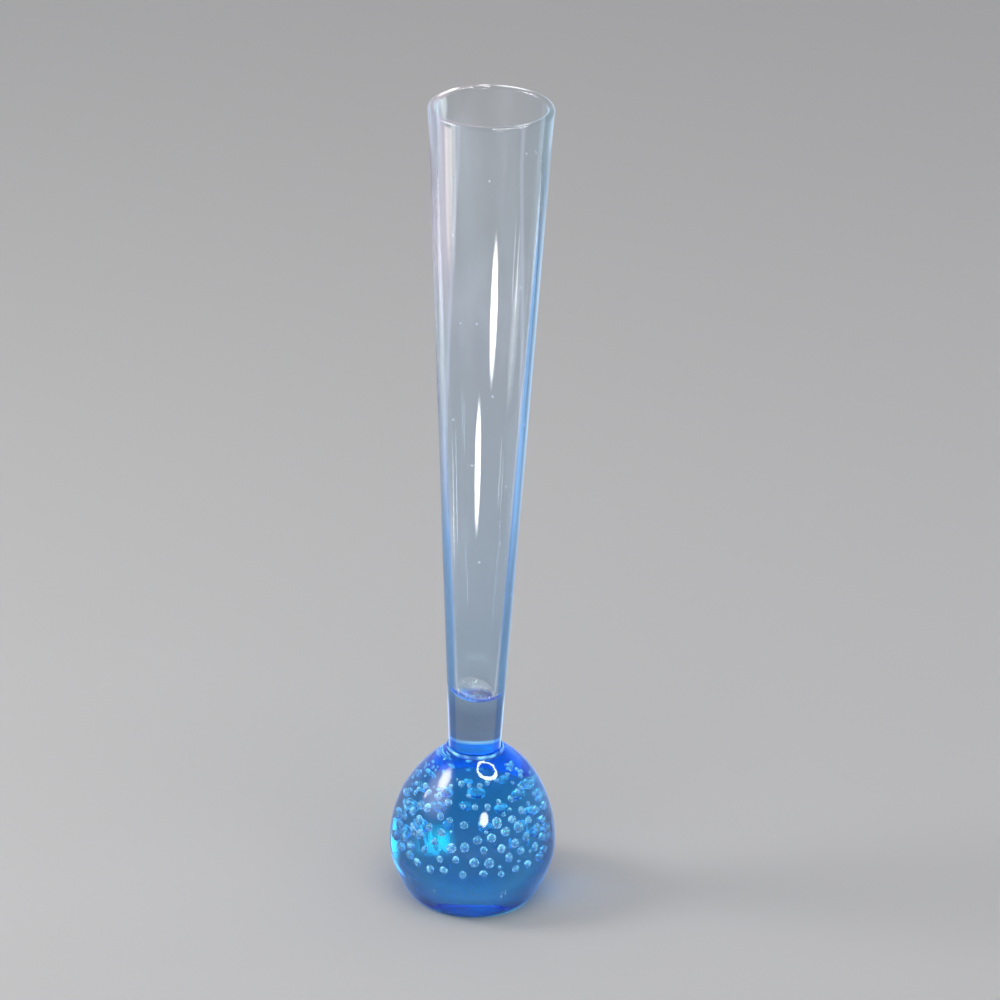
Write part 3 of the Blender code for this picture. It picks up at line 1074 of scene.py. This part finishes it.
def light_trumpet(material):
    """Gives the trumpet painted light: the pale lines of its outline and bore, its lavender veil, and a glow
    on the haze and specks in its well.
    """
    tree = material.node_tree
    marks = tree.nodes["marks_and_glow"].outputs
    edge, right = edge_on(tree), right_mask(tree)
    behind, in_well = from_behind(tree), mark_of(tree, "in_well")
    outside = (1 - behind) * (1 - in_well)
    heel = 1 - height_mask(tree, *RIM_HEEL_FADE)
    right_rim = (height_mask(tree, *RIM_RIGHT_RISE) * (1 - RIM_RIGHT_LOW) + RIM_RIGHT_LOW) * right
    left_rim = height_mask(tree, *RIM_LEFT_RISE) * RIM_LEFT_HIGH
    sides = calculate("MAXIMUM", heel, calculate("MAXIMUM", right_rim, left_rim))
    bore = (rise(edge, *BORE_START) - rise(edge, *BORE_END)) * behind * in_well
    veil = rise(edge, *VEIL_EDGE) * height_mask(tree, *VEIL_RISE) * (1 - right) * outside
    shine_with(material, [
        scaled(mixed(right, RIM_LEFT, RIM_RIGHT), rise(edge, *RIM_EDGE) * outside * sides),
        mark_of(tree, "well_light", "Color").socket,
        scaled(HAZE_COLOUR, in_well * marks["Patches"]),
        scaled(SPECK_COLOUR, in_well * marks["Specks"]),
        scaled(BORE_COLOUR, bore),
        scaled(VEIL_COLOUR, veil),
    ])


light_trumpet(trumpet_glass)
print("trumpet lit at its outline, well, bore and veil")

# %% [markdown]
# On the ball they are the bubbles' rims, the bead round the heel, the joint, the shoulders and the rim of
# the ball, the ground foot, and a cyan spot on the far skin that only shows through the glass.

# %% Caught light in the ball
# All colours below are painted light: glows that stand in for light mirrored or caught in the bubbles, bead,
# joint, rim, shoulders, foot and far skin.
SHINE_COLOUR = (0.70, 0.95, 1.0)
SHINE_STRENGTH = 2.5
SHINE_MIDDLE = 0.14
SHINE_POWER = 2.0
SHINE_MOTTLE = (1.35, 0.25)
ON_SKIN = 0.001
BALL_RIM_COLOUR = (0.02, 0.10, 0.30)
BALL_RIM = (0.72, 0.95)
SHOULDER_RIM = (0.35, 0.75)
SHOULDER_LEFT = (0.03, 0.05, 0.14, 1.0)
SHOULDER_RIGHT = (0.0, 0.06, 0.22, 1.0)
JOINT_GLOW_COLOUR = (0.0, 0.36, 0.35)
JOINT_EDGE = (0.45, 0.68)
BEAD_GLOW_COLOUR = (0.30, 0.80, 1.0)
FOOT_GLOW_COLOUR = (0.02, 0.45, 0.90)
SPOT_COLOUR = (0.0, 1.1, 0.55)
SPOT_PLACE = (-3.0, 23.0, 7.0)
SPOT_REACH = (1.7, 4.0, 3.0)


def spot_mask(tree, place, reach):
    """A mask that falls smoothly from 1 at a place to 0 at an oval round it, both in millimetres."""
    away = object_place(tree)
    for operation, values in (("SUBTRACT", place), ("DIVIDE", reach)):
        away = vector_step(operation, away, [value * MM for value in values])
    length = add_node(tree, "VectorMath", {0: away}, operation="LENGTH").outputs["Value"]
    return rise(Value(length), 1.0, 0.0)


def light_ball(material):
    """Lets each bubble glow palely at its edge, where a real one mirrors the bright room all round it. The
    ball's skin glows at its rim and shoulders, and the bead, the joint, the foot and the spot by marks."""
    tree = material.node_tree
    edge, shine, behind = edge_on(tree), mark_of(tree, "shine"), from_behind(tree)
    mottle = Value(tree.nodes["marks_and_glow"].outputs["Mottle"]) * SHINE_MOTTLE[0] + SHINE_MOTTLE[1]
    glow_of_edge = edge**SHINE_POWER * ((1 - SHINE_MIDDLE) * SHINE_STRENGTH) + SHINE_MIDDLE * SHINE_STRENGTH
    skin = calculate("LESS_THAN", shine, ON_SKIN)
    front = skin * (1 - behind)
    shoulder = rise(edge, *SHOULDER_RIM) * height_mask(tree, *SHOULDER_HEIGHTS) * front
    shine_with(material, [
        scaled(SHINE_COLOUR, shine * glow_of_edge * mottle),
        scaled(BEAD_GLOW_COLOUR, mark_of(tree, "bead")),
        scaled(JOINT_GLOW_COLOUR, mark_of(tree, "fused") * rise(edge, *JOINT_EDGE)),
        scaled(BALL_RIM_COLOUR, rise(edge, *BALL_RIM) * front),
        scaled(mixed(right_mask(tree), SHOULDER_LEFT, SHOULDER_RIGHT), shoulder),
        scaled(FOOT_GLOW_COLOUR, mark_of(tree, "foot")),
        scaled(SPOT_COLOUR, spot_mask(tree, SPOT_PLACE, SPOT_REACH) * skin * behind),
    ])


light_ball(ball_glass)
print("ball lit at its bubbles, skin, bead, joint, foot and spot")

# %% [markdown]
# ## Floor
#
# The real vase stands on a table. Here a pale matt disc lies just under the foot, without any gloss, so
# that it adds no reflections of its own.

# %% Floor
FLOOR_RADIUS = 4.0
FLOOR_COLOUR = (0.44, 0.44, 0.445, 1.0)
FLOOR_DROP = 0.00005
FLOOR_CORNERS = 96


def make_floor():
    """A flat disc just under the foot."""
    turn = angles_round(FLOOR_CORNERS)
    ring = round_axis(FLOOR_RADIUS, turn, -FLOOR_DROP)
    mesh = bpy.data.meshes.new("floor")
    mesh.from_pydata(ring.tolist(), [], [list(range(len(turn)))])
    floor = new_object("floor", mesh)
    material, _, shader = new_material("floor_paper")
    connect(shader, {"Base Color": FLOOR_COLOUR, "Roughness": 1.0, "Specular IOR Level": 0})
    mesh.materials.append(material)
    print("floor disc of", FLOOR_RADIUS, "m")


make_floor()

# %% [markdown]
# ## Lamps
#
# Glass shows nothing of its own, only what is round it. So each lamp stands where its glint is seen on the
# real vase: a window and a wide lavender curtain on the left, a small window in front on the right, a panel
# behind on the right, and a ceiling lamp with a bright oval ring. Where the small window is, a green lamp is
# seen only through the glass and draws the cyan crescent on the ball's edge. A lamp that is wanted in one way
# alone is hidden from the other kinds of light path. All are glowing surfaces that the camera does not see,
# and all but the ring are cards with soft edges.

# %% Glowing cards
VASE_MIDDLE = Vector((0, 0, 0.035))


def direction(azimuth, elevation):
    """A unit vector. Azimuth 0 points at the camera's side and 90 to the right, in degrees."""
    a, e = math.radians(azimuth), math.radians(elevation)
    return Vector((math.sin(a) * math.cos(e), -math.cos(a) * math.cos(e), math.sin(e)))


def soft_edge_group():
    """Group: 1 in the middle of a card, and smoothly down to 0 at its edge, by the card's UV map. Reach =
    (|2u - 1|^p + |2v - 1|^p)^(1/p), so p = 2 makes an oval and a larger p a rounded rectangle."""
    group, source, result = new_group("soft_edge", {"Core": 0.3, "Power": 2.0}, ["Value"])
    place = add_node(group, "TexCoord").outputs["UV"]
    power = Value(source.outputs["Power"])
    across, along = (calculate("ABSOLUTE", axis_of(place, axis) * 2.0 - 1.0) ** power for axis in "XY")
    reach = (across + along) ** calculate("DIVIDE", 1.0, power)
    connect(result, {"Value": rise(reach, 1.0, source.outputs["Core"])})
    return group


soft_edge = soft_edge_group()


def glowing(name, brightness, colour, core, power=2.0):
    """A see-through material that glows from its front. With a core, the glow fades to a soft edge."""
    material, tree, shader = new_material(name)
    tree.nodes.remove(shader)
    strength = (1 - from_behind(tree)) * brightness
    if core is not None:
        fade = add_node(tree, "Group", {}, node_tree=soft_edge)
        connect(fade, {"Core": core, "Power": power})
        strength = Value(fade.outputs["Value"]) * strength
    light = add_node(tree, "Emission", {"Color": (*colour, 1), "Strength": strength})
    clear = add_node(tree, "BsdfTransparent")
    both = add_node(tree, "AddShader", {0: light.outputs[0], 1: clear.outputs[0]})
    connect(tree.nodes["Material Output"], {"Surface": both.outputs[0]})
    return material


def lamp_piece(name, points, quads, shares, *glow):
    """A glowing surface that the camera does not see. Shares are each point's place on the UV map."""
    mesh = bpy.data.meshes.new(name)
    mesh.from_pydata(np.reshape(points, (-1, 3)).tolist(), [], np.reshape(quads, (-1, 4)).tolist())
    corners = np.array([loop.vertex_index for loop in mesh.loops])
    mesh.uv_layers.new(name="UVMap").data.foreach_set("uv", np.array(shares, np.float32)[corners].ravel())
    mesh.materials.append(glowing(name, *glow))
    lamp = new_object(name, mesh)
    lamp.visible_camera = False
    return lamp


def hide(lamp, *kinds):
    """Hides a lamp from kinds of light path, such as diffuse, glossy, transmission or shadow."""
    for kind in kinds:
        setattr(lamp, "visible_" + kind, False)
    print(lamp.name, "hidden from", kinds)


def card(name, place, turn, width, height, brightness, colour, core):
    """A flat glowing card with a soft oval edge, centred on a place. It shines from its front, adds light
    and blocks none."""
    x, y = width / 2, height / 2
    corners = [(-x, -y, 0), (x, -y, 0), (x, y, 0), (-x, y, 0)]
    shares = [(0, 0), (1, 0), (1, 1), (0, 1)]
    lamp = lamp_piece(name, corners, [0, 1, 2, 3], shares, brightness, colour, core)
    lamp.location = place
    lamp.rotation_mode = "QUATERNION"
    lamp.rotation_quaternion = turn
    return lamp


# %% [markdown]
# Each row of the table is a lamp: its name, azimuth and elevation in degrees, distance, width, height,
# brightness, colour, the share of it that is evenly bright, and the light paths that it is hidden from.

# %% Lamps
LAMPS = (
    ("left_window", -87, 42, 1.0, 0.50, 0.38, 17, (1.0, 0.97, 0.95), 0.35),
    ("left_curtain", -82, 33, 1.1, 1.6, 1.0, 5.0, (0.92, 0.80, 1.0), 0.1, "diffuse", "transmission"),
    ("left_low_window", -98, 21, 1.0, 0.16, 0.13, 9, (1.0, 0.97, 0.95), 0.3),
    ("front_glint", 17.5, 25.5, 1.0, 0.27, 0.28, 22, (1.0, 0.98, 0.96), 0.55, "diffuse", "transmission"),
    ("front_glow", 17.5, 25.5, 1.0, 0.32, 0.32, 150, (0.04, 0.92, 0.27), 0.0, "diffuse", "glossy"),
    ("ceiling", 10, 66, 1.3, 1.5, 1.2, 2.6, (0.97, 0.98, 1.0), 0.5, "glossy"),
    ("right_panel", 118, 3, 0.7, 0.45, 0.13, 5, (0.96, 0.98, 1.0), 0.4, "glossy"),
)
RING_DIRECTION = (62.5, 70.0)
RING_SIDE = (0.905, 0.369, -0.216)
RING_SIZES = (0.9, 0.25, 0.165, 0.068)
RING_BRIGHTNESS = 22
RING_COLOUR = (1, 1, 0.95)
RING_CORNERS = 64


def glow(name, azimuth, elevation, distance, width, height, brightness, colour, core, *hidden):
    """A card that stands in a direction from the ball and faces it."""
    away = direction(azimuth, elevation)
    turn = (-away).to_track_quat("Z", "Y")
    hide(card(name, VASE_MIDDLE + away * distance, turn, width, height, brightness, colour, core), *hidden)


def ring_lamp(distance, wide, tall, width):
    """A flat glowing oval ring that faces the ball. Points = middle + wide u cos t + tall v sin t."""
    away = np.array(direction(*RING_DIRECTION))
    middle = np.array(VASE_MIDDLE + direction(*RING_DIRECTION) * distance)
    u = np.array(RING_SIDE)
    u = u - away * (u @ away)
    u = u / np.linalg.norm(u)
    v = np.cross(away, u)
    turn = angles_round(RING_CORNERS)[None, :, None]
    spread = np.array([-width / 2, width / 2])[:, None, None]
    points = middle + (wide + spread) * u * np.cos(turn) + (tall + spread) * v * np.sin(turn)
    quads, shares = wrapped_grid(2, RING_CORNERS), np.zeros((2 * RING_CORNERS, 2))
    return lamp_piece("ceiling_ring", points, quads, shares, RING_BRIGHTNESS, RING_COLOUR, None)


for settings in LAMPS:
    glow(*settings)
ring = ring_lamp(*RING_SIZES)
hide(ring, "diffuse")
print("ring shines towards the ball:", ring.data.polygons[0].normal.dot(direction(*RING_DIRECTION)) < 0)

# %% [markdown]
# The trumpet's steep wall mirrors only what lies low round it. So the pale streaks that run down it come
# from narrow cards that lie on the floor and point at the vase. Behind it, wide fans give an even light
# that is seen through the glass, and a fan in front is mirrored as a haze. All of them show in the glass
# alone and cast no light on the floor.

# %% Cards on the floor
FLOOR_CARDS = (
    ("front_right_strip", 17.0, 281, 440, 115, 48, (1, 1, 1), 6),
    ("front_left_strip", -10.5, 189, 315, 80, 42, (1, 1, 1), 6),
    ("right_thin_strip", 57, 215, 280, 14, 10, (1, 1, 1)),
    ("right_far_strip", 67, 370, 460, 26, 9, (1, 1, 1)),
    ("left_thin_strip", -84, 190, 300, 14, 9, (0.95, 0.95, 1.0)),
    ("left_warm_card", -86, 400, 620, 190, 5, (1.0, 0.90, 0.80)),
)
FAN_CARDS = (
    ("right_back_fan", 126, 154, 150, 1100, 0.45, (0.80, 0.90, 1.0)),
    ("left_back_fan", -154, -126, 150, 1100, 0.2, (0.88, 0.86, 1.0)),
    ("right_far_fan", 126, 154, 400, 1100, 0.35, (0.90, 0.94, 1.0)),
    ("left_far_fan", -154, -126, 340, 1100, 0.3, (1.0, 0.90, 1.0)),
    ("front_haze_fan", -70, 60, 90, 1100, 0.35, (0.86, 0.90, 1.0)),
)
CARD_LIFT = 2
CARD_CORE = 0.5
FAN_CORE = 0.75
FAN_POWER = 8.0
FAN_POINTS = 13


def floor_card(name, azimuth, near, far, width, brightness, colour, tilt=0):
    """A card that lies face up on the floor and reaches between two distances from the vase, in mm. With a
    tilt in degrees its near end is raised, so that it shines over the ball and only the trumpet shows it."""
    lift = CARD_LIFT + (far - near) / 2 * math.sin(math.radians(tilt))
    place = direction(azimuth, 0) * (near + far) / 2 * MM + Vector((0, 0, lift * MM))
    turn = Matrix.Rotation(math.radians(azimuth), 3, "Z") @ Matrix.Rotation(math.radians(tilt), 3, "X")
    size = (width * MM, (far - near) * MM)
    strip = card(name, place, turn.to_quaternion(), *size, brightness, colour, CARD_CORE)
    hide(strip, "diffuse", "shadow")
    return strip


def fan_card(name, first, last, near, far, brightness, colour):
    """A card that lies face up on the floor and fills a sector between two azimuths in degrees and two
    distances in mm. Point = (distance sin azimuth, -distance cos azimuth)."""
    u, v = np.meshgrid(*[np.linspace(0, 1, FAN_POINTS)] * 2)
    azimuth = np.radians(first + (last - first) * u)
    distance = (near + (far - near) * v) * MM
    height = 0 * u + CARD_LIFT * MM
    points = np.stack([distance * np.sin(azimuth), -distance * np.cos(azimuth), height], axis=-1)
    open_grid = wrapped_grid(*u.shape).reshape(FAN_POINTS - 1, FAN_POINTS, 4)[:, :-1]
    quads = open_grid[..., ::-1]
    shares = np.stack([u, v], axis=-1).reshape(-1, 2)
    fan = lamp_piece(name, points, quads, shares, brightness, colour, FAN_CORE, FAN_POWER)
    hide(fan, "diffuse", "shadow")
    return fan


strips = [floor_card(*settings) for settings in FLOOR_CARDS]
for strip in strips[:2]:
    hide(strip, "transmission")
fans = [fan_card(*settings) for settings in FAN_CARDS]
for fan in fans[:-1]:
    hide(fan, "glossy")
hide(fans[-1], "transmission")

# %% [markdown]
# ## Sky
#
# Light from all round softens everything, paler at the horizon than overhead, as in a room with pale
# walls. The floor gets an even fill instead, so that it renders about as pale as it is.

# %% Sky
SKY_LOW = (0.52, 0.52, 0.53, 1.0)
SKY_HIGH = (0.13, 0.135, 0.16, 1.0)
SKY_FILL = (0.62, 0.62, 0.63, 1.0)
SKY_STOPS = (0.05, 0.6)


def make_sky():
    """The world: two colours by the height of the direction, for what the glass and the camera see."""
    world = bpy.data.worlds.new("sky")
    world.use_nodes = True
    tree = world.node_tree
    place = add_node(tree, "TexCoord").outputs["Generated"]
    ramp = add_node(tree, "ValToRGB", {0: axis_of(place, "Z")})
    for stop, position, colour in zip(ramp.color_ramp.elements, SKY_STOPS, (SKY_LOW, SKY_HIGH)):
        stop.position, stop.color = position, colour
    ray = add_node(tree, "LightPath").outputs
    seen = Value(ray["Is Camera Ray"]) + ray["Is Glossy Ray"] + ray["Is Transmission Ray"]
    connect(tree.nodes["Background"], {"Color": mixed(seen, SKY_FILL, ramp.outputs["Color"])})
    bpy.context.scene.world = world
    print("sky from", SKY_LOW[:3], "to", SKY_HIGH[:3])


make_sky()

# %% [markdown]
# ## How light is followed
#
# Light trapped in glass bounces many times before it gets out, so the limits on bounces are raised.

# %% Render limits
BOUNCES = 200
CLEAR_BOUNCES = 16
scene = bpy.context.scene
scene.view_settings.view_transform = "Standard"
for kind in ("max_bounces", "glossy_bounces", "transmission_bounces"):
    setattr(scene.cycles, kind, BOUNCES)
scene.cycles.transparent_max_bounces = CLEAR_BOUNCES
print("bounces:", BOUNCES)

# %% [markdown]
# ## Joining the frame
#
# Each piece rides on the vase's one body and stands for the CAD solids that it replaces.

# %% Hand over
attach(trumpet, "root")
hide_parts("flute")
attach(ball, "root")
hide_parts("ball_casing", "ball_core")
